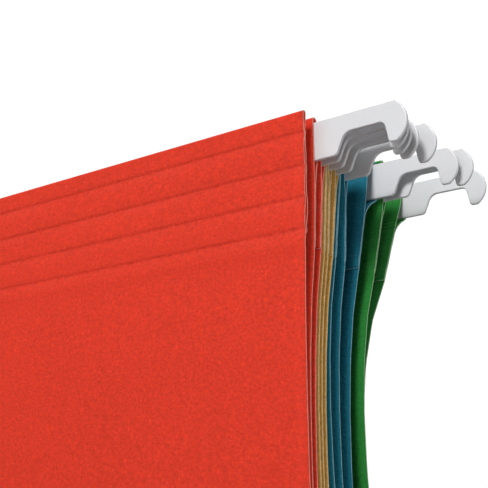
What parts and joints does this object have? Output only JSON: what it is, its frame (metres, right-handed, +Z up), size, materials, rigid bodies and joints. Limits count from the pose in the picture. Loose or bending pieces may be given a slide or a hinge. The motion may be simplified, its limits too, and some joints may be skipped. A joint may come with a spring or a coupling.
{
  "type": "set of hanging file folders",
  "caption": "Coloured hanging files of folded card on white coated hook bars that rest on a pair of rails.",
  "frame": {"origin": "midway between the hooks, at the front of the set, at the height of the rails' tops", "axes": "+X along the bars to the right, +Y from the front file to the back one, +Z up"},
  "size_m": [0.4123, 0.0702, 0.239],
  "materials": {
    "white_coating": "smooth white coating on a steel strip, satin",
    "red_card": "uncoated dyed card, fine fibre, scored creases",
    "yellow_card": "uncoated dyed card, fine fibre, scored creases",
    "blue_card": "uncoated dyed card, fine fibre, scored creases",
    "green_card": "uncoated dyed card, fine fibre, scored creases"
  },
  "bodies": {
    "red_front": {"red_front_bar": "white_coating", "red_front_hem": "red_card"},
    "red_front_swing": {"red_front_leaf": "red_card", "red_bottom_fold": "red_card"},
    "red_back": {"red_back_bar": "white_coating", "red_back_hem": "red_card"},
    "red_back_swing": {"red_back_leaf": "red_card"},
    "red_cover": {"red_cover_hem": "red_card", "red_cover_leaf": "red_card"},
    "yellow_front": {"yellow_front_bar": "white_coating", "yellow_front_hem": "yellow_card", "yellow_cover_hem": "yellow_card"},
    "yellow_front_swing": {"yellow_front_leaf": "yellow_card", "yellow_bottom_fold": "yellow_card", "yellow_cover_leaf": "yellow_card"},
    "yellow_back": {"yellow_back_bar": "white_coating", "yellow_back_hem": "yellow_card"},
    "yellow_back_swing": {"yellow_back_leaf": "yellow_card"},
    "blue_front": {"blue_front_bar": "white_coating", "blue_front_hem": "blue_card", "blue_cover_hem": "blue_card"},
    "blue_front_swing": {"blue_front_leaf": "blue_card", "blue_bottom_fold": "blue_card", "blue_cover_leaf": "blue_card"},
    "blue_back": {"blue_back_bar": "white_coating", "blue_back_hem": "blue_card"},
    "blue_back_swing": {"blue_back_leaf": "blue_card"},
    "green_front": {"green_front_bar": "white_coating", "green_front_hem": "green_card"},
    "green_front_swing": {"green_front_leaf": "green_card", "green_bottom_fold": "green_card"},
    "green_back": {"green_back_bar": "white_coating", "green_back_hem": "green_card"},
    "green_back_swing": {"green_back_leaf": "green_card"}
  },
  "joints": [
    {"name": "red_open", "type": "slide", "parent": "red_front", "child": "red_back", "axis": [0, 1, 0], "range_m": [0, 0.06]},
    {"name": "red_front_crease", "type": "hinge", "parent": "red_front", "child": "red_front_swing", "pos_m": [0, -0.0012, -0.0325], "axis": [1, 0, 0], "range_deg": [0, 8.74]},
    {"name": "red_back_crease", "type": "hinge", "parent": "red_back", "child": "red_back_swing", "pos_m": [0, 0.0022, -0.0325], "axis": [1, 0, 0], "range_deg": [-8.74, 0]},
    {"name": "red_cover_fold", "type": "hinge", "parent": "red_front_swing", "child": "red_cover", "pos_m": [0, -0.00255, -0.23055], "axis": [1, 0, 0], "range_deg": [0, 110]},
    {"name": "yellow_file_slide", "type": "slide", "parent": "red_back", "child": "yellow_front", "axis": [0, 1, 0], "range_m": [0, 0.06]},
    {"name": "yellow_open", "type": "slide", "parent": "yellow_front", "child": "yellow_back", "axis": [0, 1, 0], "range_m": [0, 0.06]},
    {"name": "yellow_front_crease", "type": "hinge", "parent": "yellow_front", "child": "yellow_front_swing", "pos_m": [0, 0.0064, -0.0325], "axis": [1, 0, 0], "range_deg": [0, 8.74]},
    {"name": "yellow_back_crease", "type": "hinge", "parent": "yellow_back", "child": "yellow_back_swing", "pos_m": [0, 0.0089, -0.0325], "axis": [1, 0, 0], "range_deg": [-8.74, 0]},
    {"name": "blue_file_slide", "type": "slide", "parent": "yellow_back", "child": "blue_front", "axis": [0, 1, 0], "range_m": [0, 0.06]},
    {"name": "blue_open", "type": "slide", "parent": "blue_front", "child": "blue_back", "axis": [0, 1, 0], "range_m": [0, 0.06]},
    {"name": "blue_front_crease", "type": "hinge", "parent": "blue_front", "child": "blue_front_swing", "pos_m": [0, 0.0165, -0.0325], "axis": [1, 0, 0], "range_deg": [0, 8.75]},
    {"name": "blue_back_crease", "type": "hinge", "parent": "blue_back", "child": "blue_back_swing", "pos_m": [0, 0.025, -0.0325], "axis": [1, 0, 0], "range_deg": [-8.75, 0]},
    {"name": "green_file_slide", "type": "slide", "parent": "blue_back", "child": "green_front", "axis": [0, 1, 0], "range_m": [0, 0.06]},
    {"name": "green_open", "type": "slide", "parent": "green_front", "child": "green_back", "axis": [0, 1, 0], "range_m": [0, 0.06]},
    {"name": "green_front_crease", "type": "hinge", "parent": "green_front", "child": "green_front_swing", "pos_m": [0, 0.0325, -0.0325], "axis": [1, 0, 0], "range_deg": [0, 8.75]},
    {"name": "green_back_crease", "type": "hinge", "parent": "green_back", "child": "green_back_swing", "pos_m": [0, 0.0425, -0.0325], "axis": [1, 0, 0], "range_deg": [-8.75, 0]}
  ],
  "couplings": [
    {"joint": "red_front_crease", "follows": "red_open", "rad_per_m": 2.536},
    {"joint": "red_back_crease", "follows": "red_open", "rad_per_m": -2.536},
    {"joint": "yellow_front_crease", "follows": "yellow_open", "rad_per_m": 2.5356},
    {"joint": "yellow_back_crease", "follows": "yellow_open", "rad_per_m": -2.5356},
    {"joint": "blue_front_crease", "follows": "blue_open", "rad_per_m": 2.5386},
    {"joint": "blue_back_crease", "follows": "blue_open", "rad_per_m": -2.5386},
    {"joint": "green_front_crease", "follows": "green_open", "rad_per_m": 2.5393},
    {"joint": "green_back_crease", "follows": "green_open", "rad_per_m": -2.5393}
  ]
}
